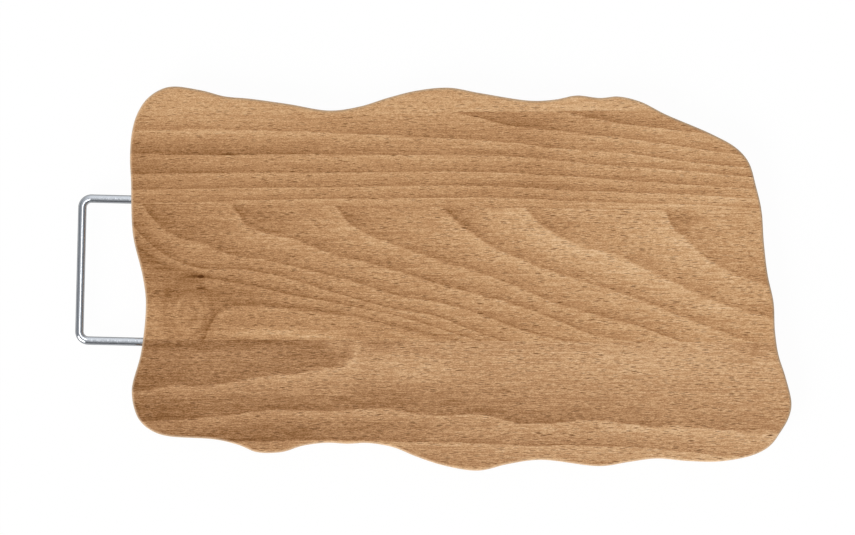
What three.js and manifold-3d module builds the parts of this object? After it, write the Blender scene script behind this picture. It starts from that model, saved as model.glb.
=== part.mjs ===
// Cutting and serving board: a panel of edge-glued beech staves, routed to a wavy outline with
// eased edges, and a bent steel wire handle bonded into two bores drilled in one end.
// Millimetres, +Z up. The origin is the middle of the board's underside, +X runs along the grain
// away from the handle and +Y points to the rear edge.
import * as THREE from "three";
import { mergeVertices } from "three/addons/utils/BufferGeometryUtils.js";
import Module from "manifold-3d";

// Board blank
const BOARD_LENGTH = 400;
const BOARD_WIDTH = 232;
const BOARD_THICKNESS = 15;
const EDGE_ROUND = 1.5;

// Staves, measured from the rear edge on the board's middle line; the front stave takes the rest
const REAR_STRIP_WIDTH = 15.2;
const REAR_STAVE_WIDTH = 57.7;
const MIDDLE_STAVE_WIDTH = 80.7;
const GLUE_LINE = 0.1;

// Slope of each glue line against the board's length, in degrees, from the rear one to the front one
const GLUE_LINE_TILTS = [0.61, -0.71, -0.3];

// Wire handle
const WIRE_DIAMETER = 5;
const HANDLE_SPAN = 86; // between the centre lines of the two legs
const HANDLE_REACH = 30; // from the board's end to the centre line of the grip bar
const HANDLE_OFFSET = 5; // of the handle's middle line towards the rear edge
const HANDLE_SKEW = 1.4; // degrees that the handle sits askew in the board
const BEND_RADIUS = 5.5; // of the wire's centre line
const LEG_DEPTH = 38; // of each leg inside the board's end
const LEG_CHAMFER = 0.6; // on the cut ends of the wire
const LEG_SIDES = [1, -1]; // of the handle's middle line: towards the rear edge, then the front edge

// Bores for the legs
const BOND_GAP = 0.25; // all round the wire, for the adhesive
const BORE_RELIEF = 1; // of the bore's full diameter past the end of the leg
const DRILL_POINT_ANGLE = 118; // degrees, across the cone of the drill

// The wavy outline, point by point round the board. For each side, the shares say how far along the
// side its points lie, and the cuts how far each of them is cut back from the side, in millimetres.
// Rear edge, from the handle end to the far end
const REAR_EDGE_SHARES = [
  0.058, 0.107, 0.143, 0.18, 0.24, 0.302, 0.348, 0.39, 0.433, 0.482, 0.53, 0.608, 0.645, 0.675, 0.711,
  0.738, 0.772, 0.808, 0.88, 0.916,
];
const REAR_EDGE_CUTS = [
  0.0, 1.9, 5.6, 7.0, 10.3, 14.2, 11.7, 6.5, 2.2, 0.4, 3.7, 8.3, 7.4, 5.1, 6.6, 5.7, 8.9, 16.2, 28.6,
  36.7,
];
// Far end, from the rear edge to the front edge
const FAR_END_SHARES = [
  0.196, 0.26, 0.322, 0.405, 0.489, 0.562, 0.635, 0.697, 0.76, 0.827, 0.864, 0.901,
];
const FAR_END_CUTS = [
  25.9, 21.4, 18.1, 16.7, 14.4, 10.8, 10.0, 7.9, 3.3, 0.0, 1.9, 6.9,
];
// Front edge, from the far end to the handle end
const FRONT_EDGE_SHARES = [
  0.968, 0.944, 0.893, 0.843, 0.796, 0.754, 0.711, 0.62, 0.572, 0.527, 0.476, 0.433, 0.397, 0.358, 0.33,
  0.297, 0.26, 0.231, 0.191, 0.167, 0.131, 0.049, 0.024,
];
const FRONT_EDGE_CUTS = [
  15.2, 9.7, 5.6, 5.8, 7.3, 5.2, 2.7, 6.5, 4.0, 0.0, 2.9, 8.4, 14.2, 16.7, 16.2, 16.8, 14.9, 11.3, 11.2,
  15.1, 18.7, 21.5, 26.5,
];
// Handle end, from the front edge to the rear edge
const HANDLE_END_SHARES = [
  0.143, 0.209, 0.308, 0.436, 0.506, 0.615, 0.756, 0.813, 0.88, 0.928, 0.972,
];
const HANDLE_END_CUTS = [
  4.2, 1.1, 6.7, 9.6, 7.7, 1.8, 0.6, 0.0, 1.1, 4.2, 11.0,
];

// Fineness of the curved faces
const OUTLINE_STEPS = 260;
const EDGE_ROUND_STEPS = 3;
const WIRE_SIDES = 24;
const BEND_STEPS = 8;

const CUT_PAST = 5; // by which a cutting tool runs past what it cuts

const beech = new THREE.MeshStandardMaterial({ color: 0xbd9061, roughness: 0.62, metalness: 0 });
const chrome = new THREE.MeshStandardMaterial({ color: 0xd2d5d9, roughness: 0.12, metalness: 1 });

const wasm = await Module();
wasm.setup();

// A closed geometry as a solid that can be cut and joined.
function solidOf(geometry) {
  const bare = geometry.clone();
  bare.deleteAttribute("normal");
  bare.deleteAttribute("uv");
  const merged = mergeVertices(bare, 1e-4);
  return new wasm.Manifold(
    new wasm.Mesh({
      numProp: 3,
      vertProperties: new Float32Array(merged.attributes.position.array),
      triVerts: new Uint32Array(merged.index.array),
    }),
  );
}

// A solid as a geometry that a mesh can show.
function geometryOf(solid) {
  const { vertProperties, triVerts } = solid.getMesh();
  const geometry = new THREE.BufferGeometry();
  geometry.setAttribute("position", new THREE.BufferAttribute(vertProperties, 3));
  geometry.setIndex(new THREE.BufferAttribute(triVerts, 1));
  geometry.computeVertexNormals();
  return geometry;
}

// The board's outline as one smooth closed curve, running clockwise from above.
function outlineCurve() {
  const alongX = (share) => (share - 0.5) * BOARD_LENGTH;
  const alongY = (share) => (share - 0.5) * BOARD_WIDTH;
  const points = [
    ...REAR_EDGE_SHARES.map((share, i) => [alongX(share), BOARD_WIDTH / 2 - REAR_EDGE_CUTS[i]]),
    ...FAR_END_SHARES.map((share, i) => [BOARD_LENGTH / 2 - FAR_END_CUTS[i], -alongY(share)]),
    ...FRONT_EDGE_SHARES.map((share, i) => [alongX(share), FRONT_EDGE_CUTS[i] - BOARD_WIDTH / 2]),
    ...HANDLE_END_SHARES.map((share, i) => [HANDLE_END_CUTS[i] - BOARD_LENGTH / 2, alongY(share)]),
  ];
  const spots = points.map(([x, y]) => new THREE.Vector3(x, y, 0));
  const curve = new THREE.CatmullRomCurve3(spots, true, "centripetal");
  curve.arcLengthDivisions = 10 * OUTLINE_STEPS;
  return curve;
}

// The whole glued panel, routed to the outline, with both faces eased into the edge.
function routedBoard() {
  const spots = outlineCurve().getSpacedPoints(OUTLINE_STEPS).slice(0, -1);
  const shape = new THREE.Shape(spots.map((p) => new THREE.Vector2(p.x, p.y)));
  const geometry = new THREE.ExtrudeGeometry(shape, {
    depth: BOARD_THICKNESS - 2 * EDGE_ROUND,
    steps: 1,
    bevelEnabled: true,
    bevelThickness: EDGE_ROUND,
    bevelSize: EDGE_ROUND,
    bevelOffset: -EDGE_ROUND,
    bevelSegments: EDGE_ROUND_STEPS,
  });
  geometry.translate(0, 0, EDGE_ROUND);
  return solidOf(geometry);
}

// A glue line as its height across the board at any place along it.
function glueLine(distanceFromRear, tilt) {
  const rise = Math.tan(THREE.MathUtils.degToRad(tilt));
  return (x) => BOARD_WIDTH / 2 - distanceFromRear + rise * x;
}

// The slab of the blank between two lines across the board, cut back by half a glue line at each.
function slab(rearLine, frontLine) {
  const end = BOARD_LENGTH / 2 + CUT_PAST;
  const rear = (x) => rearLine(x) - GLUE_LINE / 2;
  const front = (x) => frontLine(x) + GLUE_LINE / 2;
  const shape = new THREE.Shape([
    new THREE.Vector2(-end, front(-end)),
    new THREE.Vector2(end, front(end)),
    new THREE.Vector2(end, rear(end)),
    new THREE.Vector2(-end, rear(-end)),
  ]);
  const depth = BOARD_THICKNESS + 2 * CUT_PAST;
  const geometry = new THREE.ExtrudeGeometry(shape, { depth, bevelEnabled: false });
  geometry.translate(0, 0, -CUT_PAST);
  return solidOf(geometry);
}

// The centre line of the wire in the handle's own frame: in along one leg, round a bend, up the
// grip bar, round the other bend and back along the second leg. Each bend takes BEND_STEPS steps
// and each straight stretch takes one, so that the straights stay plain.
class WireLine extends THREE.Curve {
  constructor() {
    super();
    const half = HANDLE_SPAN / 2;
    const bendX = BEND_RADIUS - HANDLE_REACH;
    const bendY = half - BEND_RADIUS;
    this.stations = [new THREE.Vector3(LEG_DEPTH, half, 0)];
    for (let i = 0; i <= BEND_STEPS; i++) {
      const turn = Math.PI / 2 + (Math.PI / 2) * (i / BEND_STEPS);
      this.stations.push(
        new THREE.Vector3(bendX + BEND_RADIUS * Math.cos(turn), bendY + BEND_RADIUS * Math.sin(turn), 0),
      );
    }
    const mirrored = this.stations.map((p) => new THREE.Vector3(p.x, -p.y, 0)).reverse();
    this.stations.push(...mirrored);
    this.steps = this.stations.length - 1;
  }

  getPoint(t, target = new THREE.Vector3()) {
    const place = Math.min(t * this.steps, this.steps - 1e-9);
    const step = Math.floor(place);
    return target.lerpVectors(this.stations[step], this.stations[step + 1], place - step);
  }

  // The wire's direction at a station halves the angle between the two stretches that meet there.
  getTangent(t, target = new THREE.Vector3()) {
    const step = Math.round(t * this.steps);
    const before = this.stations[Math.max(step - 1, 0)];
    const here = this.stations[step];
    const after = this.stations[Math.min(step + 1, this.steps)];
    const arriving = here.clone().sub(before).normalize();
    const leaving = after.clone().sub(here).normalize();
    return target.copy(arriving).add(leaving).normalize();
  }

  // Stations stay where they are, and aren't spread evenly along the wire.
  getUtoTmapping(u) {
    return u;
  }
}

// The wire itself, in the handle's own frame, with the cut ends of its legs chamfered.
function wireHandle() {
  const line = new WireLine();
  const section = new THREE.Shape().absarc(0, 0, WIRE_DIAMETER / 2, 0, 2 * Math.PI);
  const wire = new THREE.ExtrudeGeometry(section, {
    steps: line.steps,
    curveSegments: WIRE_SIDES / 2, // the arc of a full turn gets twice as many sides
    extrudePath: line,
    bevelEnabled: false,
  });
  return LEG_SIDES.reduce((steel, side) => steel.subtract(solidOf(legChamfer(side))), solidOf(wire));
}

// A turned shape that lies along a leg: its profile gives the distance from the leg's centre line
// and the depth inside the board's end.
function turnedOnLeg(profile, side) {
  const turned = new THREE.LatheGeometry(
    profile.map(([radius, depth]) => new THREE.Vector2(radius, depth)),
    WIRE_SIDES,
  );
  turned.rotateZ(-Math.PI / 2);
  turned.translate(0, (side * HANDLE_SPAN) / 2, 0);
  return turned;
}

// The ring that the chamfer takes off a leg's cut end: a triangle whose long side is the chamfer.
function legChamfer(side) {
  const radius = WIRE_DIAMETER / 2;
  const profile = [
    [radius + LEG_CHAMFER, LEG_DEPTH - 2 * LEG_CHAMFER],
    [radius + LEG_CHAMFER, LEG_DEPTH + LEG_CHAMFER],
    [radius - 2 * LEG_CHAMFER, LEG_DEPTH + LEG_CHAMFER],
    [radius + LEG_CHAMFER, LEG_DEPTH - 2 * LEG_CHAMFER],
  ];
  return turnedOnLeg(profile, side);
}

// The drilled bore for a leg: from outside the board's end, past the end of the leg, to the cone
// that the drill leaves.
function legBore(side) {
  const radius = WIRE_DIAMETER / 2 + BOND_GAP;
  const bottom = LEG_DEPTH + BORE_RELIEF;
  const cone = radius / Math.tan(THREE.MathUtils.degToRad(DRILL_POINT_ANGLE / 2));
  const profile = [
    [0, -CUT_PAST],
    [radius, -CUT_PAST],
    [radius, bottom],
    [0, bottom + cone],
  ];
  return turnedOnLeg(profile, side);
}

const handle = new THREE.Group();
handle.position.set(-BOARD_LENGTH / 2, HANDLE_OFFSET, BOARD_THICKNESS / 2);
handle.rotation.z = THREE.MathUtils.degToRad(-HANDLE_SKEW);
handle.updateMatrix();
const handleMesh = new THREE.Mesh(geometryOf(wireHandle()), chrome);
handleMesh.name = "wire_handle";
handle.add(handleMesh);

const bores = LEG_SIDES.map((side) => solidOf(legBore(side).applyMatrix4(handle.matrix)));

const rearSide = () => BOARD_WIDTH;
const frontSide = () => -BOARD_WIDTH;
const rearGlue = glueLine(REAR_STRIP_WIDTH, GLUE_LINE_TILTS[0]);
const middleGlue = glueLine(REAR_STRIP_WIDTH + REAR_STAVE_WIDTH, GLUE_LINE_TILTS[1]);
const frontGlue = glueLine(REAR_STRIP_WIDTH + REAR_STAVE_WIDTH + MIDDLE_STAVE_WIDTH, GLUE_LINE_TILTS[2]);
const staves = [
  ["rear_edge_stave", rearSide, rearGlue],
  ["rear_stave", rearGlue, middleGlue],
  ["middle_stave", middleGlue, frontGlue],
  ["front_stave", frontGlue, frontSide],
];

// Each stave is what the panel and its slab share, less the bores. A stave that the wavy outline
// cuts right through falls into pieces, the largest of which keeps the plain name.
const board = new THREE.Group();
const panel = routedBoard();
for (const [name, rearLine, frontLine] of staves) {
  const sawn = panel.intersect(slab(rearLine, frontLine));
  const drilled = bores.reduce((wood, bore) => wood.subtract(bore), sawn);
  const pieces = drilled.decompose().sort((a, b) => b.volume() - a.volume());
  pieces.forEach((piece, i) => {
    const mesh = new THREE.Mesh(geometryOf(piece), beech);
    mesh.name = i === 0 ? name : `${name}_${i + 1}`;
    board.add(mesh);
  });
}

const cuttingBoard = new THREE.Group();
cuttingBoard.add(board, handle);

export default cuttingBoard;
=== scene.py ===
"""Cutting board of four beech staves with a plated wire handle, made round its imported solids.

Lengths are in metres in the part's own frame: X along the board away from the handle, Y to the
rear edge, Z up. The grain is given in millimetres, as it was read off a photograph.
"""

import math

import bpy
import numpy as np
from bpy.props import FloatProperty, FloatVectorProperty, PointerProperty
from bpy.types import NodeSocket, Operator, Panel, PropertyGroup
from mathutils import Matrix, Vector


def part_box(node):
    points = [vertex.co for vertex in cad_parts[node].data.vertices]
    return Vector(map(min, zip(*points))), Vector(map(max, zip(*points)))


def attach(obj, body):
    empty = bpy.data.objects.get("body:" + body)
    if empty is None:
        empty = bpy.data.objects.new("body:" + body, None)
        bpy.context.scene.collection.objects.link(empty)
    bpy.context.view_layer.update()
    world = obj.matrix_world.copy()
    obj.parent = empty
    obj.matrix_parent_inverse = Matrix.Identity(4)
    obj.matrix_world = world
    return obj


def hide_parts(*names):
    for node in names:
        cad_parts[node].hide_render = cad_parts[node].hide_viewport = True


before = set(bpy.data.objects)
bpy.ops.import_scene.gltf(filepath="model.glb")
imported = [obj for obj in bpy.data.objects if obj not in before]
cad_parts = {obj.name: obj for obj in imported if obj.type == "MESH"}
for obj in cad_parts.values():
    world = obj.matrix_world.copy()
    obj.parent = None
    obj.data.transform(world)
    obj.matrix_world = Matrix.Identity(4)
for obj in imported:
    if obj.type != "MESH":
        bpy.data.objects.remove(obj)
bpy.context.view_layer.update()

bl_info = {
    "name": "Beech cutting board",
    "version": (1, 0, 0),
    "blender": (4, 5, 0),
    "location": "3D View > Sidebar > Cutting Board",
    "description": "Makes a wavy beech cutting board with a wire handle, and a white stage for it",
    "category": "Add Mesh",
}

MM = 0.001

# From the rear edge to the front one.
STAVES = ("rear_edge_stave", "rear_stave", "middle_stave", "front_stave")

# How finely the surfaces are divided.
OUTLINE_POINTS = 1160
TOP_RINGS = 96
BOTTOM_RINGS = 40
ROUND_STEPS = 8
WALL_STEPS = 6
WIRE_SIDES = 64
BORE_SIDES = 64
LEG_STEPS = 12
BEND_STEPS = 24
GRIP_STEPS = 16
SHARP_ANGLE = math.radians(32)

# The spine that the rows of the faces start from, as a share of the board's half length.
SPINE_SHARE = 0.55
# Packed vertices closer to a height than this belong to it.
SAME_HEIGHT = 0.01 * MM
# Packed vertices closer to each other than this are one point of the outline.
SAME_POINT = 0.5 * MM
# How many points the outline runs on past both ends of its lap, to be smooth there.
OVERLAP = 4
# Radius of the flat that closes the tip of a bore.
BORE_TIP = 0.02 * MM
# Where the board's end would be without its waves; the handle is set out from there.
BOARD_END = -200 * MM

# Growth lines of the rear stave: heights across the board at shared stations along it.
REAR_STATIONS = (-200, -150, -100, -50, -5, 15, 30, 60, 80, 100, 140, 185)
REAR_HEIGHTS = (
    (37, 38.5, 40, 40.5, 41, 41, 41, 40, 39, 38, 37, 35),
    (45.5, 47, 48.2, 48.8, 49.4, 49.2, 48.9, 47.4, 46.7, 46.1, 45, 42.6),
    (54.1, 54.7, 55.3, 55.9, 56.6, 56.2, 55.8, 54, 53, 52.2, 51, 47.5),
    (63.6, 64.1, 64.3, 64.6, 64.9, 64.6, 64.1, 62.5, 61, 59.6, 56.8, 54),
    (76, 74.7, 75.6, 75, 74.9, 74.7, 74.2, 71.6, 69.8, 68.2, 65.2, 60.6),
    (89.3, 90.7, 89.4, 87.1, 84.8, 83.6, 82.4, 78.8, 77.3, 75.8, 70.4, 66.7),
    (109, 108, 107, 105.5, 101.3, 96.5, 92.7, 89.5, 87.2, 85.1, 79.1, 72.7),
    (128, 126, 123, 119, 113.5, 110.5, 108, 101.5, 97.3, 93.6, 88.8, 83),
    (148, 144, 140, 135, 128, 125, 122, 116, 111, 106, 99.5, 93.5),
)

# Growth lines of the middle stave, from the one round the knot to the one at the far end.
MIDDLE_LINES = (
    (
        (-165, -76.5), (-159, -50.5), (-155, -36.5), (-152, -28.5), (-147, -20), (-140, -16),
        (-131, -14.8), (-112, -16.2), (-97, -17.5), (-82, -19), (-67, -21.6), (-40, -27.6), (-12, -35),
    ),
    (
        (-200, 23), (-188, 14), (-172, 6.2), (-157, 2), (-127, -3.4), (-109, -7.7), (-73, -15),
        (-36, -22.8), (3, -35),
    ),
    (
        (-202, 38), (-194, 28), (-182, 17), (-169, 9.9), (-157, 6.5), (-133, 6.2), (-109, 2),
        (-73, -9), (-40, -18), (-15, -22.2), (3, -29.5), (21, -36),
    ),
    (
        (-191, 44), (-184, 35), (-174, 27.4), (-157, 22.5), (-142, 16), (-118, 11.7), (-97, 6.8),
        (-67, -0.4), (-36, -10.4), (-14, -13.7), (15, -22), (39, -31), (66, -38),
    ),
    (
        (-136, 43), (-130, 33.5), (-121, 29.8), (-97, 23.2), (-76, 15), (-52, 9.5), (-27, 1.7),
        (6, -7.7), (32, -14.6), (57, -23.7), (81, -34), (97, -36.7),
    ),
    (
        (-74, 43.4), (-70, 37.4), (-61, 30.4), (-49, 25), (-21, 14.4), (6, 6.2), (35, -4.7),
        (54, -13), (81, -20.7), (106, -27.6), (130, -36.7),
    ),
    (
        (-9, 42.5), (-3, 36.5), (15, 22.9), (42, 10.5), (69, 1.1), (90, -5.6), (115, -14.6),
        (148, -27.6), (175, -37.3),
    ),
    (
        (41, 42.2), (47, 35.9), (66, 23.5), (94, 15), (115, 5.6), (139, -6.5), (169, -17.7),
        (190, -23.4),
    ),
    ((124, 42.5), (127, 35.2), (134, 28), (148, 14.7), (156, 8.6), (175, 0.5), (193, -5.3)),
    ((190, 41), (199, 32), (211, 23)),
)
# The line below these, which keeps just outside the stave.
UNDER_MIDDLE = (
    (-300, -110), (-172, -100), (-162, -75), (-153, -54), (-145, -45), (-134, -42), (-100, -42),
    (-60, -47), (-12, -60), (100, -90),
)
# Counted from nought, the lines from this one on begin at the rear glue line. They come down to it
# from here, along and up.
FIRST_LED_IN = 3
LEAD_IN = ((-60, 54), (-24, 30), (-6, 9))
# A year of growth counts as at least this wide.
LEAST_YEAR = 0.5

# The growth lines of the strip on the rear edge are straight: how wide a year is along the board,
# how far a line runs along the board for each millimetre across, where across the board they are
# counted from, and the stretch along it in which they fade in.
EDGE_YEAR = 27
EDGE_LEAN = 4.1
EDGE_HEIGHT = 103.2
EDGE_FADE = (-30, 30)

# Growth lines of the front stave; the last but one is the upper side of the flame.
FRONT_LINES = (
    ((-206, -112), (-100, -112), (0, -111), (100, -115), (200, -120)),
    (
        (-206, -98.4), (-130, -98), (-97, -97), (-41, -98), (8, -98.9), (36, -100.3), (77, -100.4),
        (131, -103.5), (153, -106), (199, -107),
    ),
    (
        (-206, -85.7), (-165, -84.5), (-147, -82.7), (-130, -80.5), (-116, -79.3), (-72, -79.2),
        (-53, -77.7), (-44, -77.5), (-27, -81.4), (-14, -82.2), (3, -81.4), (17, -82.4), (30, -86),
        (50, -87.5), (66, -85.7), (79, -84.8), (93, -86), (103, -88.1), (136, -89.3), (175, -92.6),
        (199, -93.5),
    ),
    (
        (-206, -70), (-198, -68.1), (-186, -66), (-174, -64.3), (-151, -64.5), (-139, -61.8),
        (-120, -58.3), (-97, -56.3), (-84, -53), (-75, -50.2), (-70, -45.5), (-66, -36), (-58, 0),
        (-40, 25), (0, 30), (200, 30),
    ),
    ((-206, 90), (200, 90)),
)

# How light each stave is: its level, how that drifts along the board per millimetre, how much a
# year's growth rises from dark to light, how much darker its first wood is (line), what share of a
# year the drop back to dark takes, how far the lines move across for each millimetre of depth
# (dip), and how strong its dashes are (fleck). Soft patches change the level, the line or the drop
# (along, across, half length, half width, change). A colour strength under 1 makes it greyer.
GRAIN = {
    "rear_edge_stave": {
        "level": 0.67, "drift": 0.0002, "rise": 0.07,
        "line": 0.0, "drop": 0.1, "dip": 0.5, "fleck": 0.75,
        "patches": ((-155, 106, 55, 9, 0.06), (80, 102, 30, 5, 0.06)),
        "line_patches": (),
    },
    "rear_stave": {
        "level": 0.35, "drift": 0.0003, "rise": 0.31,
        "line": 0.06, "drop": 0.05, "dip": 0.35, "fleck": 0.8,
        "patches": (
            (-185, 70, 45, 14, -0.08), (-165, 94, 55, 8, 0.10), (46, 74, 16, 18, -0.10),
            (150, 45, 45, 2.5, 0.12), (32, 92, 24, 7, -0.13), (-120, 47, 70, 4, 0.05),
            (-120, 95, 75, 8, 0.13), (-130, 80, 85, 4.5, -0.09), (-202, 68, 20, 16, -0.12),
            (115, 76, 50, 9, 0.06), (75, 97, 60, 5, -0.08), (45, 56, 38, 4, -0.13),
            (158, 48, 36, 3.5, 0.13),
        ),
        "line_patches": (
            (-150, 78, 60, 5, 0.10), (-180, 66, 25, 5, 0.08), (30, 97, 25, 5, 0.12),
            (100, 98, 25, 5, 0.10),
        ),
    },
    "middle_stave": {
        "level": 0.38, "drift": 0.0006, "rise": 0.23,
        "line": 0.14, "drop": 0.1, "dip": 1.2, "fleck": 1.08,
        "patches": (
            (115, 22, 62, 22, 0.10), (-165, 0, 32, 9, -0.10), (-118, -32.6, 26, 2.8, 0.36),
            (25, 32, 22, 10, 0.12), (72, 15, 40, 10, 0.10), (-181, 18, 14, 5, -0.12),
            (-190, -6, 10, 9, -0.08), (-149, -8, 35, 5, -0.27), (-124, -25, 36, 7, -0.12),
            (-42, -31, 24, 6, -0.13), (40, -28, 60, 10, -0.05), (184, -12, 16, 26, -0.08),
            (60, 41, 50, 4, 0.12), (-75, 30, 60, 8, 0.09), (0, 24, 110, 7, 0.06),
            (-200, 26, 15, 14, -0.16), (178, 36, 14, 9, -0.08), (102, 0, 18, 5, 0.09),
            (127, -8, 18, 5, 0.08), (155, -17, 18, 6, 0.07), (-177, -11, 14, 9, -0.16),
            (-86, -34.8, 15, 1.7, 0.32), (-150, -33, 12, 4, -0.07), (139, 36, 7, 5, -0.12),
        ),
        "line_patches": (
            (-182, 38, 16, 9, 0.10), (-118, 40, 30, 7, 0.14), (-66, 39, 12, 9, 0.13),
            (4, 34, 16, 12, 0.17), (50, 38, 14, 9, 0.12), (135, 37, 12, 8, 0.20),
            (-100, -10, 70, 10, 0.08), (0, -16, 60, 20, 0.05),
        ),
    },
    "front_stave": {
        "level": 0.29, "drift": 0.0008, "rise": 0.31,
        "line": 0.12, "drop": 0.05, "dip": -0.8, "fleck": 1.22,
        "patches": (
            (-198, -76, 24, 24, -0.10), (-120, -92, 75, 9, -0.08), (40, -54, 130, 16, 0.12),
            (-85, -46, 22, 7, -0.08), (-122, -37.9, 38, 1.6, -0.24), (-172, -40.5, 34, 1.9, -0.3),
            (-50, -39, 14, 2.4, -0.26), (-72, -38.5, 10, 5, 0.30), (-145, -50, 45, 10, 0.13),
            (14, -114, 34, 8, 0.24), (-35, -53, 28, 10, 0.19), (112, -49, 60, 6, 0.08),
            (180, -41, 13, 4, -0.24), (-40, -57, 25, 5, 0.06), (130, -56, 50, 6, 0.05),
            (-145, -73, 65, 4, -0.13), (110, -75, 90, 7, 0.06), (-185, -79, 30, 7, -0.16),
            (-50, -88, 85, 4, -0.16), (-138, -96, 42, 6, -0.14), (-10, -96, 18, 4, 0.07),
            (10, -104, 50, 4, -0.07),
        ),
        "line_patches": ((-100, -74, 110, 8, 0.06), (60, -82, 90, 8, 0.08)),
        "drop_patches": ((-69, -44, 14, 11, 0.40),),
        "colour_strength": 0.98,
    },
}

# A dash from its middle outwards: share of the spacing, and how far it is dark (-1) or pale (1).
DASH_PROFILE = ((0.07, -1), (0.16, -0.55), (0.26, 0), (0.4, 1), (0.55, 0.4), (0.75, 0))
# The pit of a dash has its full depth up to the first share of the spacing, and ends at the second.
DASH_PIT = (0.08, 0.32)
# How much stronger the dashes get for each millimetre along the board.
FLECK_DRIFT = 0.0006
# Turns the streaks and fibres off the grid of their noise, whose rows and columns would show.
NOISE_TURN = (0.5, 0.3, 0.6)

# The knot near the handle: its middle, its half axes, and rings of (size, half width, change).
KNOT_MIDDLE = (-164.5, -21)
KNOT_HALF = (12.5, 17)
KNOT_RINGS = ((0.36, 0.12, -0.12), (0.6, 0.1, 0.08), (0.82, 0.1, -0.09), (1.2, 0.16, -0.15))

# Short dark marks on the cutting face: along, across, half length, half width, change.
MARKS = (
    (-157, 1.3, 2.3, 1.1, -1.0),
    (-158.5, 1.6, 10, 1.2, -0.4),
    (-157.5, -5.7, 5, 1.3, -0.4),
    (-140.5, 75.2, 7.5, 0.8, -0.50),
    (26.4, -67.4, 4.5, 1.0, -0.25),
    (-72, -72.3, 9, 2.4, -0.28),
    (139, -61, 4, 0.8, -0.12),
)
# A mark is full up to the first share of its half size and gone at the second, and goes this deep.
MARK_EDGE = (0.3, 1.1)
MARK_DEPTH = 4

# Tones of the wood's colours; the darkest and the palest one lie at the ends of the range.
TONE_RANGE = (-0.5, 1.3)
TONES = {"brown": 0, "dark": 0.34, "middle": 0.575, "light": 0.835, "pale": 1}

# Wood turns to end grain, and takes painted shade, as the part of its face's direction along X grows
# from here to there.
END_GRAIN_AND_SHADE = (0.4, 0.9)
# The painted highlight on the eased edge has faded out at this depth, in radii of the edge.
EASED_END = 2.5

# The room that the wire mirrors, by the parts of a direction one long: where the walls turn from
# front to rear along Y, and for the strip of light overhead its middle along X, how far from there
# its edges fade, and how high up its ends do.
WALL_TURN = (-1, 0.5)
LIGHT_MIDDLE = 0.16
LIGHT_EDGES = (0.19, 0.11)
LIGHT_ENDS = (0.7, 0.9)


def linear(code):
    """Linear red, green and blue of an sRGB colour written as six hexadecimal digits."""
    shares = [int(code[place : place + 2], 16) / 255 for place in (0, 2, 4)]
    return tuple(s / 12.92 if s <= 0.04045 else ((s + 0.055) / 1.055) ** 2.4 for s in shares)


def length(name, millimetres, description):
    """A length property with its default in millimetres."""
    return FloatProperty(
        name=name, description=description, default=millimetres * MM, unit="LENGTH", precision=5
    )


def angle(name, degrees, description):
    """An angle property with its default in degrees."""
    return FloatProperty(
        name=name,
        description=description,
        default=math.radians(degrees),
        unit="ROTATION",
        subtype="ANGLE",
    )


def share(name, value, description):
    """A plain number from nought up."""
    return FloatProperty(name=name, description=description, default=value, min=0, subtype="FACTOR")


def colour(name, code, description):
    """A colour property with its default as six hexadecimal digits of sRGB."""
    return FloatVectorProperty(
        name=name, description=description, default=linear(code), min=0, max=1, subtype="COLOR"
    )


class BoardSizes(PropertyGroup):
    """Sizes of the glued panel."""

    width: length("Width", 232, "From the front edge to the rear one, before the waves")
    edge_round: length("Edge round", 1.5, "Radius that eases both faces into the edge")
    inset: length("Inset", 0.08, "How far the edge keeps inside the packed outline")
    strip_width: length("Strip", 15.2, "Width of the strip along the rear edge")
    rear_width: length("Rear stave", 57.7, "Width of the stave next to the strip")
    middle_width: length("Middle stave", 80.7, "Width of the stave with the knot")
    strip_tilt: angle("Strip glue line", 0.61, "Slope of the glue line in front of the strip")
    rear_tilt: angle("Rear glue line", -0.71, "Slope of the glue line in front of the rear stave")
    middle_tilt: angle("Front glue line", -0.3, "Slope of the glue line behind the front stave")
    glue_gap: length("Glue line", 0.02, "Gap between neighbouring staves")


class HandleSizes(PropertyGroup):
    """Sizes of the bent wire and of the bores that it sits in."""

    wire: length("Wire", 5, "Diameter of the round wire")
    span: length("Span", 86, "Between the middles of the two legs")
    reach: length("Reach", 30, "From the board's end to the middle of the grip bar")
    offset: length("Offset", 5, "How far the handle sits behind the board's middle line")
    skew: angle("Skew", 1.4, "How far the handle sits askew in the board's end")
    bend: length("Bend", 5.5, "Radius of the wire's middle line in the bends")
    depth: length("Depth", 38, "How deep the legs go into the board")
    chamfer: length("Chamfer", 0.6, "Bevel on the ends of the legs")
    bond: length("Bond", 0.25, "Gap round a leg that the adhesive fills")
    relief: length("Relief", 1, "How much deeper the bore is than the leg")
    drill_point: angle("Drill point", 118, "Full angle of the cone at the bore's end")


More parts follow.
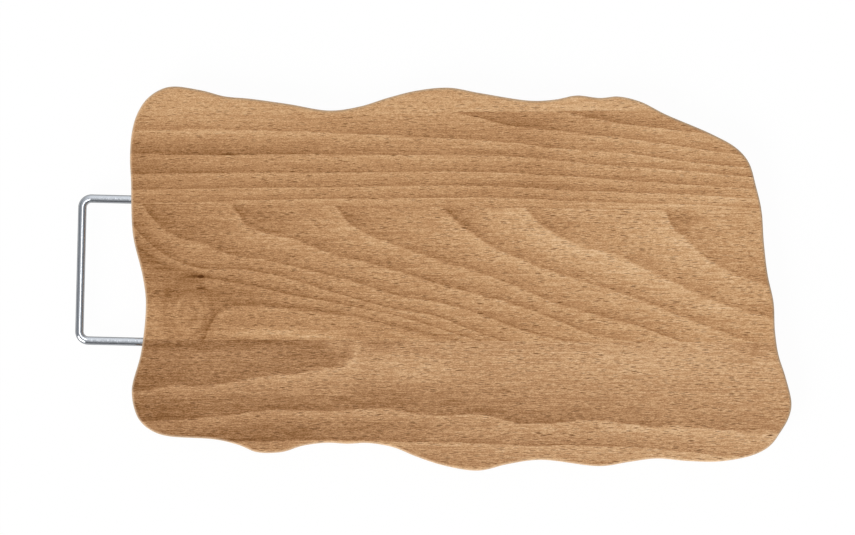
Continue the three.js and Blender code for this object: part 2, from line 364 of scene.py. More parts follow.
class BeechLook(PropertyGroup):
    """Colours of oiled beech from its darkest wood to its lightest, and the sizes of its figure."""

    darkest: colour("Darkest", "4E2800", "The middle of the marks")
    brown: colour("Brown", "85592F", "The darkest dashes")
    dark: colour("Dark", "A47850", "Wood at the start of a year's growth")
    middle: colour("Middle", "B98B60", "The board's common colour")
    light: colour("Light", "CCA275", "Wood at the end of a year's growth")
    pale: colour("Pale", "D9B186", "Pale streaks")
    palest: colour("Palest", "E7C7A1", "The palest fibres")
    # The pale colour of the eased edge is a painted highlight.
    eased: colour("Eased edge", "E8D6BA", "Painted highlight on the eased edge")
    eased_share: share("Eased share", 0.45, "How far the eased edge turns to that colour")
    fleck_length: length("Fleck spacing along", 8.5, "Spacing of the short dark dashes along the grain")
    fleck_width: length("Fleck spacing across", 0.6, "Spacing of the short dark dashes across the grain")
    fleck_depth: share("Fleck depth", 2.3, "How much darker a dash is")
    fleck_rim: share("Fleck rim", 0.28, "How much paler the rim of a dash is")
    fibre_length: length("Fibre length", 1, "Length of the fine light and dark fibres")
    fibre_width: length("Fibre width", 0.32, "Width of the fine light and dark fibres")
    fibre_depth: share("Fibre depth", 0.95, "How much the fibres change the wood")
    streak_length: length("Streak length", 40, "Length of the long soft streaks along the grain")
    streak_width: length("Streak width", 0.6, "Width of the long soft streaks")
    streak_depth: share("Streak depth", 0.4, "How much the streaks change the wood")
    uneven_length: length("Uneven length", 14, "Length of the waves in the growth lines")
    uneven_width: length("Uneven width", 2.5, "Width of the waves in the growth lines")
    uneven_shift: share("Uneven shift", 0.08, "How much of a year the waves shift a growth line")
    first_wood: share("First wood", 0.13, "Share of a year over which its dark first wood fades")
    # Part of this darkening is painted shade on the board's end walls.
    end_grain_and_shade: share("End grain", 0.25, "How much darker the wood is where it is cut across")
    pit_roughness: share("Pit roughness", 0.15, "How much rougher a dash is than the oiled face")
    pit_strength: share("Pit strength", 0.2, "How strongly the pit of a dash shades")
    pit_depth: length("Pit depth", 0.05, "Depth of the pit of a dash")
    roughness: share("Roughness", 0.5, "Roughness of the oiled face")
    sheen: share("Sheen", 0.12, "How strongly the oiled face mirrors")


class SteelLook(PropertyGroup):
    """Look of the plated wire."""

    plating: colour("Plating", "ABAEB2", "Colour of the bright plating")
    rim: colour("Rim", "7C7C7C", "Tint of what the plating mirrors at a glancing angle")
    roughness: share("Roughness", 0.1, "Roughness of the plating")
    ripple: length("Ripple", 2.2, "Size of the shallow ripples left by drawing the wire")
    ripple_depth: length("Ripple depth", 0.09, "Depth of those ripples")


class StageLook(PropertyGroup):
    """White floor, soft light from all round and one large lamp."""

    floor: colour("Floor", "FFFFFF", "Colour of the floor")
    floor_shadow: share("Shadow", 0.035, "How much of the shadow the floor shows")
    floor_reach: length("Floor reach", 6000, "From the middle of the floor to its sides")
    floor_drop: length("Floor drop", 0.1, "How far the floor lies below the board")
    overhead: share("Overhead", 4.4, "Brightness of the strip of light overhead")
    room: share("Room", 1.65, "Brightness of the walls that the wire mirrors")
    rear_wall: colour("Rear wall", "FAFCFF", "Colour of the room behind the board")
    front_wall: colour("Front wall", "555557", "Colour of the room in front of the board")
    side_wall: colour("Side walls", "76797D", "Colour of the room past both ends of the board")
    lamp: share("Lamp", 0.4, "Share of the light on the cutting face that comes from the lamp")
    lamp_lean: angle("Lamp lean", 60, "How far the lamp stands from overhead")
    lamp_turn: angle("Lamp turn", -45, "How far the lamp stands to the right of the front")
    lamp_size: angle("Lamp size", 40, "How wide the lamp looks from the board")
    lens: length("Lens", 200, "Focal length of the camera")
    view_width: length("View width", 516.5, "Width of the picture at the cutting face")
    view_x: length("View middle X", -20.08, "Where the camera looks, along the board")
    view_y: length("View middle Y", 6.84, "Where the camera looks, across the board")


class BoardSettings(PropertyGroup):
    """All settings of the cutting board."""

    board: PointerProperty(type=BoardSizes)
    handle: PointerProperty(type=HandleSizes)
    beech: PointerProperty(type=BeechLook)
    steel: PointerProperty(type=SteelLook)
    stage: PointerProperty(type=StageLook)


def smooth_line(points, along):
    """Height of a smooth line through points, by cubic pieces that share the slope at each point.

    The slope at a point is that of the parabola through it and its neighbours; past both ends
    the line runs on straight.
    """
    px, py = np.array(points, float).T
    slope = np.gradient(py, px)
    piece = np.clip(np.searchsorted(px, along) - 1, 0, len(px) - 2)
    width = px[piece + 1] - px[piece]
    t = np.clip((along - px[piece]) / width, 0, 1)
    start = (1 + 2 * t) * (1 - t) ** 2 * py[piece] + t * (1 - t) ** 2 * width * slope[piece]
    end = t**2 * (3 - 2 * t) * py[piece + 1] - t**2 * (1 - t) * width * slope[piece + 1]
    before = np.minimum(along - px[0], 0) * slope[0]
    after = np.maximum(along - px[-1], 0) * slope[-1]
    return start + end + before + after


def growth_lines(stave):
    """Growth lines of a stave as lists of points, from the front one to the rear one."""
    if stave == "rear_stave":
        return [list(zip(REAR_STATIONS, heights)) for heights in REAR_HEIGHTS]
    if stave == "front_stave":
        return FRONT_LINES
    lines = [UNDER_MIDDLE]
    for number, line in enumerate(MIDDLE_LINES):
        start_x, start_y = line[0]
        lead = [(start_x + dx, start_y + dy) for dx, dy in LEAD_IN if number >= FIRST_LED_IN]
        lines.append(lead + list(line))
    return lines


def growth_count(stave, x, y):
    """How many growth lines lie below each place, with the share of the way to the next one."""
    if stave == "rear_edge_stave":
        return (x - EDGE_LEAN * (y - EDGE_HEIGHT)) / EDGE_YEAR
    heights = [smooth_line(line, x) for line in growth_lines(stave)]
    count = np.zeros_like(x)
    for low, high in zip(heights, heights[1:]):
        count += np.clip((y - low) / np.maximum(high - low, LEAST_YEAR), 0, 1)
    return count


def soft_patches(patches, x, y):
    """Sum of bell-shaped patches."""
    total = np.zeros_like(x)
    for middle_x, middle_y, half_length, half_width, change in patches:
        away = ((x - middle_x) / half_length) ** 2 + ((y - middle_y) / half_width) ** 2
        total += change * np.exp(-away)
    return total


def part_way(values, stretch):
    """How far values lie along a stretch, from nought before it to one past it."""
    start, end = stretch
    return np.clip((values - start) / (end - start), 0, 1)


def grain_fields(stave, points, thickness):
    """What the material of a stave reads at points of it, which are in millimetres, by name.

    The lines of the cutting face lean across with depth, so that they run on over the edges and
    come out on the underside elsewhere.
    """
    grain = GRAIN[stave]
    x = points[:, 0]
    y = points[:, 1] + grain["dip"] * (thickness - points[:, 2])
    level = grain["level"] + grain["drift"] * x + soft_patches(grain["patches"], x, y)
    rise = np.full_like(x, grain["rise"])
    if stave == "rear_edge_stave":
        rise *= part_way(x, EDGE_FADE)
    if stave == "middle_stave":
        across = (y - KNOT_MIDDLE[1]) / KNOT_HALF[1]
        size = np.hypot((x - KNOT_MIDDLE[0]) / KNOT_HALF[0], across)
        for ring, half_width, change in KNOT_RINGS:
            level += change * np.exp(-(((size - ring) / half_width) ** 2))
    return {
        "growth": growth_count(stave, x, y),
        "level": level,
        "rise": rise,
        "line": grain["line"] + soft_patches(grain["line_patches"], x, y),
        "drop": grain["drop"] + soft_patches(grain.get("drop_patches", ()), x, y),
        "colour_strength": np.full_like(x, grain.get("colour_strength", 1)),
        "fleck": grain["fleck"] + FLECK_DRIFT * x,
    }


def eased_share(height, edge_round, thickness):
    """Share of the painted highlight: the sine of how far a quarter round has turned over, fading out
    again down the wall.
    """
    depth = np.minimum(height, thickness - height) / edge_round
    over = np.sqrt(1 - (1 - np.clip(depth, 0, 1)) ** 2)
    return np.clip(np.minimum(over, EASED_END - depth), 0, 1)


def row_faces(numbers):
    """Four-cornered faces between neighbouring rows of vertex numbers; each row closes on itself."""
    here, below = numbers[:-1], numbers[1:]
    corners = (here, below, np.roll(below, -1, axis=1), np.roll(here, -1, axis=1))
    return np.stack(corners, axis=-1).reshape(-1, 4)


def closed_tube(name, rings):
    """A mesh from rings of points (rows, sides, 3), closed by one flat face at each end."""
    rows, sides = rings.shape[:2]
    numbers = np.arange(rows * sides).reshape(rows, sides)
    faces = row_faces(numbers).tolist()
    faces.append(numbers[0].tolist())
    faces.append(numbers[-1][::-1].tolist())
    mesh = bpy.data.meshes.new(name)
    mesh.from_pydata(rings.reshape(-1, 3), [], faces)
    return mesh


def vertex_places(mesh):
    """The places of a mesh's vertices, one in each row."""
    places = np.empty(3 * len(mesh.vertices), np.float32)
    mesh.vertices.foreach_get("co", places)
    return places.reshape(-1, 3).astype(float)


def packed_outline(height):
    """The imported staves' vertices at one height, as points counter-clockwise from the handle end."""
    found = []
    for stave in STAVES:
        places = vertex_places(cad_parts[stave].data)
        found.append(places[np.abs(places[:, 2] - height) < SAME_HEIGHT, :2])
    points = np.concatenate(found)
    points = points[np.argsort(np.arctan2(points[:, 1], points[:, 0]))]
    step = np.linalg.norm(points - np.roll(points, 1, axis=0), axis=1)
    return points[step > SAME_POINT]


def smooth_outline(height):
    """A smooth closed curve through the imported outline, with as many points in front as behind.

    Both coordinates are smooth lines over the distance walked round the edge. The outward
    direction at a point stands square on the step between its two neighbours.
    """
    points = packed_outline(height)
    lap = np.concatenate([points[-OVERLAP:], points, points[: OVERLAP + 1]])
    walked = np.concatenate([[0], np.cumsum(np.linalg.norm(np.diff(lap, axis=0), axis=1))])
    walked -= walked[OVERLAP]
    round_trip = walked[-OVERLAP - 1]
    half_way = walked[OVERLAP + np.argmax(points[:, 1] > 0)]
    half = OUTLINE_POINTS // 2
    front = np.linspace(0, half_way, half, endpoint=False)
    rear = np.linspace(half_way, round_trip, half, endpoint=False)
    places = np.concatenate([front, rear])
    x = smooth_line(np.column_stack([walked, lap[:, 0]]), places)
    y = smooth_line(np.column_stack([walked, lap[:, 1]]), places)
    edge = np.column_stack([x, y])
    step = np.roll(edge, -1, axis=0) - np.roll(edge, 1, axis=0)
    step /= np.linalg.norm(step, axis=1)[:, None]
    return edge, np.column_stack([step[:, 1], -step[:, 0]])


def panel_mesh(sizes, thickness):
    """The whole panel as one closed surface over two parameters.

    One runs round the outline. The other runs from a straight spine on the cutting face out to
    the edge, over a quarter round, down the wall, over a second quarter round and back to a spine
    on the underside. Rows on the faces divide the way from the spine to the edge evenly.
    """
    edge, outward = smooth_outline(thickness - sizes.edge_round)
    turn = np.linspace(0, math.pi / 2, ROUND_STEPS + 1)
    wall = np.linspace(thickness - sizes.edge_round, sizes.edge_round, WALL_STEPS + 1)[1:-1]
    inset_over = sizes.edge_round * (1 - np.sin(turn))
    height_over = thickness - sizes.edge_round * (1 - np.cos(turn))
    inset = np.concatenate([inset_over, np.zeros(len(wall)), inset_over[::-1]]) + sizes.inset
    height = np.concatenate([height_over, wall, thickness - height_over[::-1]])
    flat = edge[None] - inset[:, None, None] * outward[None]
    rim = np.concatenate([flat, np.broadcast_to(height[:, None, None], flat[:, :, :1].shape)], axis=2)

    half = OUTLINE_POINTS // 2
    place = np.arange(OUTLINE_POINTS)
    spine_x = -SPINE_SHARE * edge[:, 0].max() * np.cos(place / half * math.pi)
    spine = np.column_stack([spine_x, np.zeros_like(spine_x), np.zeros_like(spine_x)])
    top_spine = spine + (0, 0, thickness)
    out = (np.arange(1, TOP_RINGS) / TOP_RINGS)[:, None, None]
    top = top_spine + (rim[0] - top_spine) * out
    back = (np.arange(BOTTOM_RINGS - 1, 0, -1) / BOTTOM_RINGS)[:, None, None]
    bottom = spine + (rim[-1] - spine) * back

    rows = np.concatenate([top, rim, bottom])
    spine_numbers = np.minimum(place, OUTLINE_POINTS - place)
    row_numbers = half + 1 + np.arange(rows.shape[0] * OUTLINE_POINTS).reshape(-1, OUTLINE_POINTS)
    last = row_numbers[-1, -1] + 1
    numbers = np.concatenate([spine_numbers[None], row_numbers, spine_numbers[None] + last])
    points = np.concatenate([top_spine[: half + 1], rows.reshape(-1, 3), spine[: half + 1]])

    faces = row_faces(numbers)
    mesh = bpy.data.meshes.new("panel")
    mesh.from_pydata(points, [], faces.tolist())
    return mesh


def glue_lines(sizes):
    """Each glue line's height at the board's middle and its slope, from the rear one."""
    widths = np.cumsum([sizes.strip_width, sizes.rear_width, sizes.middle_width])
    tilts = (sizes.strip_tilt, sizes.rear_tilt, sizes.middle_tilt)
    return [(sizes.width / 2 - w, math.tan(t)) for w, t in zip(widths, tilts)]


def slab_mesh(number, sizes, thickness):
    """A box round one stave: the glue lines bound it, and elsewhere it is larger than the panel."""
    far = 2 * sizes.width
    lines = [(far, 0), *glue_lines(sizes), (-far, 0)]
    rear, rear_slope = lines[number]
    front, front_slope = lines[number + 1]
    gap = sizes.glue_gap / 2
    corners = [
        (-far, front - front_slope * far + gap),
        (far, front + front_slope * far + gap),
        (far, rear + rear_slope * far - gap),
        (-far, rear - rear_slope * far - gap),
    ]
    rings = np.array([[(x, y, z) for x, y in corners] for z in (2 * thickness, -thickness)])
    return closed_tube("slab", rings)


def handle_frame(sizes, points):
    """Points in the handle's own frame, set into the board's end."""
    turn = -sizes.skew
    x = points[..., 0] * math.cos(turn) - points[..., 1] * math.sin(turn)
    y = points[..., 0] * math.sin(turn) + points[..., 1] * math.cos(turn)
    z = points[..., 2] + board_thickness() / 2
    return np.stack([x + BOARD_END, y + sizes.offset, z], axis=-1)


def board_thickness():
    """The board's thickness, as packed."""
    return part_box("middle_stave")[1][2]


def bore_mesh(side, sizes):
    """A drilled bore round one leg: circles carried along the leg, ending in the drill's point."""
    radius = sizes.wire / 2 + sizes.bond
    bottom = sizes.depth + sizes.relief
    point = (radius - BORE_TIP) / math.tan(sizes.drill_point / 2)
    depths = np.array([-2 * sizes.wire, bottom, bottom + point])
    radii = np.array([radius, radius, BORE_TIP])
    turn = np.linspace(0, -2 * math.pi, BORE_SIDES, endpoint=False)
    x = np.broadcast_to(depths[:, None], (3, BORE_SIDES))
    y = side * sizes.span / 2 + radii[:, None] * np.cos(turn)
    z = radii[:, None] * np.sin(turn)
    return closed_tube("bore", handle_frame(sizes, np.stack([x, y, z], axis=-1)))


def add_object(mesh):
    """A mesh as an object in the scene, unturned at the origin."""
    made = bpy.data.objects.new(mesh.name, mesh)
    bpy.context.scene.collection.objects.link(made)
    return made


def carve(blank, cuts):
    """A new mesh: what the blank is after each tool has kept its inside or taken it away."""
    for tool, operation in cuts:
        cut = blank.modifiers.new(tool.name, "BOOLEAN")
        cut.object = tool
        cut.operation = operation
        cut.solver = "MANIFOLD"
    shaped = blank.evaluated_get(bpy.context.evaluated_depsgraph_get())
    mesh = bpy.data.meshes.new_from_object(shaped)
    blank.modifiers.clear()
    if not mesh.polygons:
        raise RuntimeError("nothing is left of the panel after the cuts")
    return mesh


def store(mesh, name, values):
    """One number for each vertex of a mesh, under a name that a material reads."""
    field = mesh.attributes.new(name, "FLOAT", "POINT")
    field.data.foreach_set("value", values.astype(np.float32))


def finish_piece(piece, node, material):
    """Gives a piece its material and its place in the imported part."""
    piece.data.materials.clear()
    piece.data.materials.append(material)
    piece.data.shade_smooth()
    piece.data.set_sharp_from_angle(angle=SHARP_ANGLE)
    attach(piece, "root")
    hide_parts(node)


def add_node(tree, kind, inputs=None, out=0, **settings):
    """Adds a node, fills its inputs with values or links, and gives an output if it has one."""
    node = tree.nodes.new(kind)
    for name, value in settings.items():
        setattr(node, name, value)
    for name, value in (inputs or {}).items():
        if isinstance(value, NodeSocket):
            tree.links.new(value, node.inputs[name])
        else:
            node.inputs[name].default_value = value
    return node.outputs[out] if node.outputs else None


def new_material(name):
    """A new material and its node tree, which is still empty."""
    material = bpy.data.materials.new(name)
    material.use_nodes = True
    material.node_tree.nodes.clear()
    return material, material.node_tree


def calculate(tree, operation, *values):
    """Adds a node that works out a number from values or links."""
    return add_node(tree, "ShaderNodeMath", dict(enumerate(values)), operation=operation)


def attribute(tree, name):
    """Adds a node that reads what is stored for each vertex under a name."""
    return add_node(tree, "ShaderNodeAttribute", attribute_name=name, out="Fac")


def map_range(tree, value, start, end, low=0, high=1, **settings):
    """Adds a node that goes from low to high as a value goes from start to end."""
    inputs = {"Value": value, "From Min": start, "From Max": end, "To Min": low, "To Max": high}
    return add_node(tree, "ShaderNodeMapRange", inputs, **settings)


def blend(tree, factor, first, second):
    """Adds a node that goes from one colour to another."""
    return add_node(tree, "ShaderNodeMix", {0: factor, 6: first, 7: second}, out=2, data_type="RGBA")


def stretched(tree, place, sizes, turn=(0, 0, 0)):
    """Adds a node that gives a pattern its sizes along the three axes."""
    scale = [1 / size for size in sizes]
    return add_node(tree, "ShaderNodeMapping", {"Vector": place, "Scale": scale, "Rotation": turn})


def noise(tree, place, detail):
    """Adds soft noise with lumps about one long."""
    return add_node(tree, "ShaderNodeTexNoise", {"Vector": place, "Scale": 1, "Detail": detail})


def growth_year(tree, place, look):
    """How far each place is through its year of growth, from nought to one.

    Slight waves keep the growth lines from looking drawn with a ruler.
    """
    sizes = (look.uneven_length, look.uneven_width, look.uneven_width)
    waves = noise(tree, stretched(tree, place, sizes), 3)
    shift = calculate(tree, "MULTIPLY_ADD", waves, 2 * look.uneven_shift, -look.uneven_shift)
    moved = calculate(tree, "ADD", attribute(tree, "growth"), shift)
    return calculate(tree, "FRACT", moved)


def growth_tone(tree, year, look):
    """Tone of the wood: a year starts dark, grows lighter, and drops back to dark in its last wood."""
    last = calculate(tree, "SUBTRACT", 1, attribute(tree, "drop"))
    growing = calculate(tree, "DIVIDE", year, last)
    dropping = map_range(tree, year, last, 1, 1, 0)
    grown = calculate(tree, "MINIMUM", growing, dropping)
    tone = calculate(tree, "MULTIPLY_ADD", grown, attribute(tree, "rise"), attribute(tree, "level"))
    fade = calculate(tree, "MULTIPLY", year, -1 / look.first_wood)
    first_wood = calculate(tree, "EXPONENT", fade)
    last_wood = calculate(tree, "SUBTRACT", 1, dropping)
    dark_wood = calculate(tree, "MAXIMUM", first_wood, last_wood)
    darker = calculate(tree, "MULTIPLY", dark_wood, attribute(tree, "line"))
    return calculate(tree, "SUBTRACT", tone, darker)


def stranded(tree, tone, place, look):
    """Tone with long soft streaks and fine fibres, both lighter and darker.

    Real fibres are far finer; these are drawn only as fine as still shows.
    """
    strands = (
        (look.streak_length, look.streak_width, look.streak_depth),
        (look.fibre_length, look.fibre_width, look.fibre_depth),
    )
    for long, wide, depth in strands:
        strand = noise(tree, stretched(tree, place, (long, wide, wide), NOISE_TURN), 0)
        change = calculate(tree, "MULTIPLY_ADD", strand, depth, -depth / 2)
        tone = calculate(tree, "ADD", tone, change)
    return tone


def dash_distance(tree, place, look):
    """Distance from the middle of the nearest dash, as a share of their spacing.

    Beech's dashes are about 0.2 mm wide; they are drawn wider, or none of them would show.
    """
    sizes = (look.fleck_length, look.fleck_width, look.fleck_width)
    fleck_place = stretched(tree, place, sizes)
    return add_node(tree, "ShaderNodeTexVoronoi", {"Vector": fleck_place, "Scale": 1})


def dashed(tree, tone, distance, look):
    """Tone with dashes: each is dark, has a pale rim of raised fibres, and then leaves the wood."""
    spread = look.fleck_depth + look.fleck_rim
    plain = look.fleck_depth / spread
    profile = add_node(tree, "ShaderNodeFloatCurve", {"Value": distance})
    mapping = profile.node.mapping
    points = mapping.curves[0].points
    for share_of_spacing, height in DASH_PROFILE:
        points.new(share_of_spacing, plain + height * (1 - plain if height > 0 else plain))
    points[0].location = (0, 0)
    points[len(points) - 1].location = (1, plain)
    mapping.update()
    change = calculate(tree, "MULTIPLY_ADD", profile, spread, -look.fleck_depth)
    return calculate(tree, "MULTIPLY_ADD", change, attribute(tree, "fleck"), tone)


def marked(tree, tone, place):
    """Tone with the short dark marks of the cutting face."""
    for along, across, half_length, half_width, change in MARKS:
        mark_place = add_node(
            tree,
            "ShaderNodeMapping",
            {
                "Vector": place,
                "Location": (along * MM, across * MM, board_thickness()),
                "Scale": (half_length * MM, half_width * MM, MARK_DEPTH * MM),
            },
            vector_type="TEXTURE",
        )
        away = add_node(tree, "ShaderNodeVectorMath", {0: mark_place}, out="Value", operation="LENGTH")
        mark = map_range(tree, away, *MARK_EDGE, change, 0, interpolation_type="SMOOTHSTEP")
        tone = calculate(tree, "ADD", tone, mark)
    return tone


def wood_colour(tree, tone, look):
    """Colour of the wood by its tone, with a painted highlight that leaves the eased edge paler than the
    faces.
    """
    low, high = TONE_RANGE
    wood = add_node(tree, "ShaderNodeValToRGB", {"Fac": map_range(tree, tone, low, high)})
    stops = wood.node.color_ramp.elements
    stops[0].color = (*look.darkest, 1)
    stops[1].color = (*look.palest, 1)
    for name, its_tone in TONES.items():
        stops.new((its_tone - low) / (high - low)).color = (*getattr(look, name), 1)
    strength = attribute(tree, "colour_strength")
    wood = add_node(tree, "ShaderNodeHueSaturation", {"Saturation": strength, "Color": wood})
    # A painted highlight pales the eased edge.
    painted_highlight = calculate(tree, "MULTIPLY", attribute(tree, "eased"), look.eased_share)
    return blend(tree, painted_highlight, wood, (*look.eased, 1))


def oiled_beech(look):
    """Oiled beech: warm brown years of growth, soft streaks and the short dark dashes of beech."""
    material, tree = new_material("oiled_beech")
    place = add_node(tree, "ShaderNodeTexCoord", out="Object")
    distance = dash_distance(tree, place, look)
    tone = growth_tone(tree, growth_year(tree, place, look), look)
    tone = stranded(tree, tone, place, look)
    tone = dashed(tree, tone, distance, look)
    tone = marked(tree, tone, place)

    # Cut across the grain the wood drinks more oil and is darker; this darkening is made deeper as
    # painted shade on the board's end walls.
    tone = calculate(tree, "MULTIPLY_ADD", attribute(tree, "end_grain_and_shade"), -look.end_grain_and_shade, tone)

    # A dash is a fine pit, sunk and rougher than the face round it.
    pit = map_range(tree, distance, *DASH_PIT, 1, 0)
    rough = calculate(tree, "MULTIPLY_ADD", pit, look.pit_roughness, look.roughness)
    sizes = {"Strength": look.pit_strength, "Distance": look.pit_depth}
    sunk = add_node(tree, "ShaderNodeBump", {**sizes, "Height": pit}, invert=True)
    surface = add_node(
        tree,
        "ShaderNodeBsdfPrincipled",
        {
            "Base Color": wood_colour(tree, tone, look),
            "Roughness": rough,
            "Specular IOR Level": look.sheen,
            "Normal": sunk,
        },
    )
    add_node(tree, "ShaderNodeOutputMaterial", {"Surface": surface})
    return material


def plated_steel(look):
    """Bright plated wire: mirrors the room, with shallow ripples that break up its reflections."""
    material, tree = new_material("plated_steel")
    place = add_node(tree, "ShaderNodeTexCoord", out="Object")
    ripple = noise(tree, stretched(tree, place, (look.ripple,) * 3), 2)
    sizes = {"Strength": 1, "Distance": look.ripple_depth}
    uneven = add_node(tree, "ShaderNodeBump", {**sizes, "Height": ripple})
    surface = add_node(
        tree,
        "ShaderNodeBsdfPrincipled",
        {
            "Base Color": (*look.plating, 1),
            "Metallic": 1,
            "Roughness": look.roughness,
            "Specular Tint": (*look.rim, 1),
            "Normal": uneven,
        },
    )
    add_node(tree, "ShaderNodeOutputMaterial", {"Surface": surface})
    return material


class CUTTING_BOARD_OT_make_staves(Operator):
    """Make the four beech staves that the board is glued up from"""

    bl_idname = "cutting_board.make_staves"
    bl_label = "Make staves"
    bl_options = {"REGISTER", "UNDO"}

    def execute(self, context):
        settings = context.scene.cutting_board
        thickness = board_thickness()
        beech = oiled_beech(settings.beech)
        blank = add_object(panel_mesh(settings.board, thickness))
        bores = [add_object(bore_mesh(side, settings.handle)) for side in (1, -1)]
        for number, stave in enumerate(STAVES):
            slab = add_object(slab_mesh(number, settings.board, thickness))
            cuts = [(slab, "INTERSECT")] + [(bore, "DIFFERENCE") for bore in bores]
            mesh = carve(blank, cuts)
            mesh.name = stave + "_wood"
            places = vertex_places(mesh) / MM
            for name, values in grain_fields(stave, places, thickness / MM).items():
                store(mesh, name, values)
            normals = np.empty(3 * len(mesh.vertices), np.float32)
            mesh.vertex_normals.foreach_get("vector", normals)
            # Where the end grain is, which the material also darkens as painted shade.
            store(mesh, "end_grain_and_shade", part_way(np.abs(normals[::3]), END_GRAIN_AND_SHADE))
            # Where the painted highlight on the eased edge lies.
            store(mesh, "eased", eased_share(places[:, 2] * MM, settings.board.edge_round, thickness))
            finish_piece(add_object(mesh), stave, beech)
            bpy.data.objects.remove(slab)
        for helper in (blank, *bores):
            bpy.data.objects.remove(helper)
        return {"FINISHED"}


class CUTTING_BOARD_OT_make_handle(Operator):
    """Make the bent wire handle"""

    bl_idname = "cutting_board.make_handle"
    bl_label = "Make handle"
    bl_options = {"REGISTER", "UNDO"}

    def execute(self, context):
        settings = context.scene.cutting_board
        sizes = settings.handle
        half = sizes.span / 2
        bar = -sizes.reach
        quarter = np.linspace(0, math.pi / 2, BEND_STEPS + 1)
        leg = np.linspace(0, 1, LEG_STEPS + 1)[:-1]
        grip = np.linspace(0, 1, GRIP_STEPS + 1)[1:-1]

        # Middle line of the wire: leg, bend, grip bar, bend, leg, and the way that it heads.
        leg_x = sizes.depth + (bar + sizes.bend - sizes.depth) * leg
        leg_x = np.concatenate([[sizes.depth, sizes.depth - sizes.chamfer], leg_x[1:]])
        bend_x = bar + sizes.bend - sizes.bend * np.sin(quarter)
        bend_y = half - sizes.bend + sizes.bend * np.cos(quarter)
        grip_y = (half - sizes.bend) * (1 - 2 * grip)
        x = np.concatenate([leg_x, bend_x, np.full_like(grip_y, bar), bend_x[::-1], leg_x[::-1]])
        y = np.concatenate(
            [np.full_like(leg_x, half), bend_y, grip_y, -bend_y[::-1], np.full_like(leg_x, -half)]
        )
        down = np.full_like(grip_y, math.pi / 2)
        heading = math.pi + np.concatenate(
            [np.zeros_like(leg_x), quarter, down, quarter + math.pi / 2, np.full_like(leg_x, math.pi)]
        )

        # Circles square on the middle line, smaller at both ends for the bevel.
        radius = np.full_like(x, sizes.wire / 2)
        radius[[0, -1]] -= sizes.chamfer
        turn = np.linspace(0, -2 * math.pi, WIRE_SIDES, endpoint=False)
        aside = radius[:, None] * np.cos(turn)
        ring_x = x[:, None] - aside * np.sin(heading)[:, None]
        ring_y = y[:, None] + aside * np.cos(heading)[:, None]
        ring_z = radius[:, None] * np.sin(turn)
        rings = handle_frame(sizes, np.stack([ring_x, ring_y, ring_z], axis=-1))
        handle = add_object(closed_tube("wire_handle_plated", rings))
        finish_piece(handle, "wire_handle", plated_steel(settings.steel))
        return {"FINISHED"}


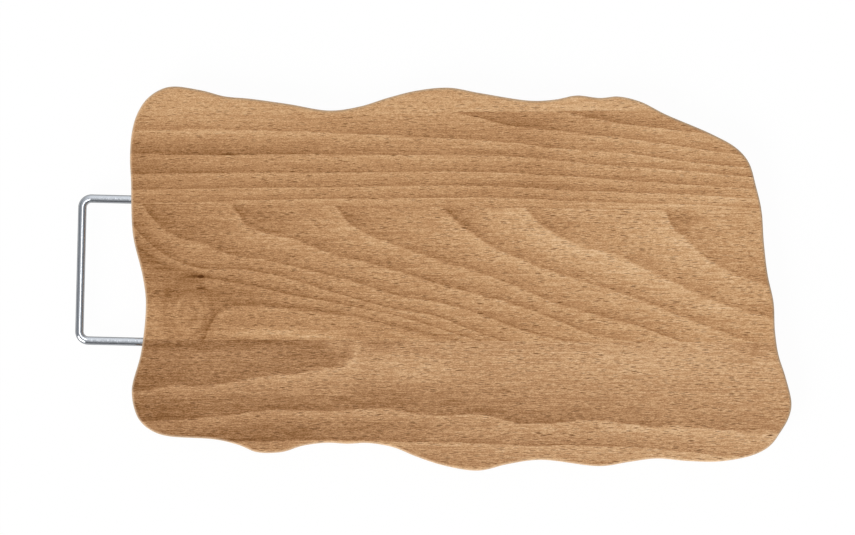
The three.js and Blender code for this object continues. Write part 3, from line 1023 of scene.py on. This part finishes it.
class CUTTING_BOARD_OT_make_stage(Operator):
    """Make the white floor, the lights and the camera"""

    bl_idname = "cutting_board.make_stage"
    bl_label = "Make stage"
    bl_options = {"REGISTER", "UNDO"}

    def execute(self, context):
        scene = context.scene
        look = scene.cutting_board.stage
        scene.view_settings.view_transform = "Standard"
        self.make_floor(look)
        self.make_room(scene, look)
        self.make_lamp(scene, look)
        self.make_camera(scene, look)
        return {"FINISHED"}

    def make_floor(self, look):
        """White floor: seen directly or in a mirror it glows white and keeps a little shadow."""
        far = look.floor_reach
        corners = ((-far, -far), (far, -far), (far, far), (-far, far))
        mesh = bpy.data.meshes.new("white_floor")
        mesh.from_pydata([(x, y, -look.floor_drop) for x, y in corners], [], [(0, 1, 2, 3)])
        material, tree = new_material("white_floor")
        seen = add_node(tree, "ShaderNodeLightPath", out="Is Camera Ray")
        paths = seen.node.outputs
        for kind in ("Is Glossy Ray", "Is Transmission Ray"):
            seen = calculate(tree, "MAXIMUM", seen, paths[kind])
        glowing = calculate(tree, "MULTIPLY", seen, 1 - look.floor_shadow)
        matt = add_node(tree, "ShaderNodeBsdfDiffuse", {"Color": (*look.floor, 1)})
        white = add_node(tree, "ShaderNodeEmission", {"Color": (*look.floor, 1), "Strength": 1})
        surface = add_node(tree, "ShaderNodeMixShader", {0: glowing, 1: matt, 2: white})
        add_node(tree, "ShaderNodeOutputMaterial", {"Surface": surface})
        mesh.materials.append(material)
        add_object(mesh)

    def light_all_round(self, tree, strength, tint=(1, 1, 1, 1)):
        """Adds a light that comes from every side."""
        return add_node(tree, "ShaderNodeBackground", {"Color": tint, "Strength": strength})

    def make_room(self, scene, look):
        """Even light from all round; in mirrors, walls from bright to dark and a strip of light."""
        scene.world = bpy.data.worlds.new("room")
        scene.world.use_nodes = True
        tree = scene.world.node_tree
        tree.nodes.clear()
        way = add_node(tree, "ShaderNodeTexCoord", out="Generated")
        axes = add_node(tree, "ShaderNodeSeparateXYZ", {0: way}).node.outputs
        rear = map_range(tree, axes["Y"], *WALL_TURN)
        walls = blend(tree, rear, (*look.front_wall, 1), (*look.rear_wall, 1))
        aside = calculate(tree, "ABSOLUTE", axes["X"])
        walls = blend(tree, aside, walls, (*look.side_wall, 1))
        wall_light = self.light_all_round(tree, look.room, walls)

        # The strip of light runs across the board overhead, a little past the zenith.
        past = calculate(tree, "SUBTRACT", axes["X"], LIGHT_MIDDLE)
        across = map_range(tree, calculate(tree, "ABSOLUTE", past), *LIGHT_EDGES)
        high = map_range(tree, axes["Z"], *LIGHT_ENDS)
        strip = calculate(tree, "MULTIPLY", across, high)
        strip_light = self.light_all_round(tree, look.overhead)
        mirrored = add_node(tree, "ShaderNodeMixShader", {0: strip, 1: wall_light, 2: strip_light})
        soft = self.light_all_round(tree, 1 - look.lamp)
        glossy = add_node(tree, "ShaderNodeLightPath", out="Is Glossy Ray")
        light = add_node(tree, "ShaderNodeMixShader", {0: glossy, 1: soft, 2: mirrored})
        plain = self.light_all_round(tree, 1)
        seen = glossy.node.outputs["Is Camera Ray"]
        shown = add_node(tree, "ShaderNodeMixShader", {0: seen, 1: light, 2: plain})
        add_node(tree, "ShaderNodeOutputWorld", {"Surface": shown})

    def make_lamp(self, scene, look):
        """A very large lamp low on the left, in front, which lights the rounded edges there."""
        lamp = bpy.data.lights.new("large_lamp", "SUN")
        lamp.angle = look.lamp_size
        lamp.energy = look.lamp * math.pi / math.cos(look.lamp_lean)
        made = bpy.data.objects.new("large_lamp", lamp)
        made.rotation_euler = (look.lamp_lean, 0, look.lamp_turn)
        scene.collection.objects.link(made)

    def make_camera(self, scene, look):
        """A long lens straight above the board."""
        camera = bpy.data.cameras.new("camera")
        camera.lens = look.lens / MM
        made = bpy.data.objects.new("camera", camera)
        above = look.view_width * camera.lens / camera.sensor_width
        made.location = (look.view_x, look.view_y, board_thickness() + above)
        scene.collection.objects.link(made)
        scene.camera = made


class CUTTING_BOARD_PT_panel(Panel):
    """Sidebar panel with the settings and the steps of the cutting board"""

    bl_idname = "CUTTING_BOARD_PT_panel"
    bl_label = "Cutting Board"
    bl_space_type = "VIEW_3D"
    bl_region_type = "UI"
    bl_category = "Cutting Board"

    def draw(self, context):
        settings = context.scene.cutting_board
        for group in ("board", "handle", "beech", "steel", "stage"):
            box = self.layout.box()
            box.label(text=group.capitalize())
            values = getattr(settings, group)
            for name in values.__annotations__:
                box.prop(values, name)
        for step in STEPS:
            self.layout.operator(step.bl_idname)


STEPS = (CUTTING_BOARD_OT_make_staves, CUTTING_BOARD_OT_make_handle, CUTTING_BOARD_OT_make_stage)
GROUPS = (BoardSizes, HandleSizes, BeechLook, SteelLook, StageLook, BoardSettings)
CLASSES = (*GROUPS, *STEPS, CUTTING_BOARD_PT_panel)


def register():
    """Adds the settings, the steps and the panel."""
    for kind in CLASSES:
        bpy.utils.register_class(kind)
    bpy.types.Scene.cutting_board = PointerProperty(type=BoardSettings)


def unregister():
    """Takes the settings, the steps and the panel away."""
    del bpy.types.Scene.cutting_board
    for kind in reversed(CLASSES):
        bpy.utils.unregister_class(kind)


def main():
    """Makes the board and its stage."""
    register()
    bpy.ops.cutting_board.make_staves()
    bpy.ops.cutting_board.make_handle()
    bpy.ops.cutting_board.make_stage()


if __name__ == "__main__":
    main()
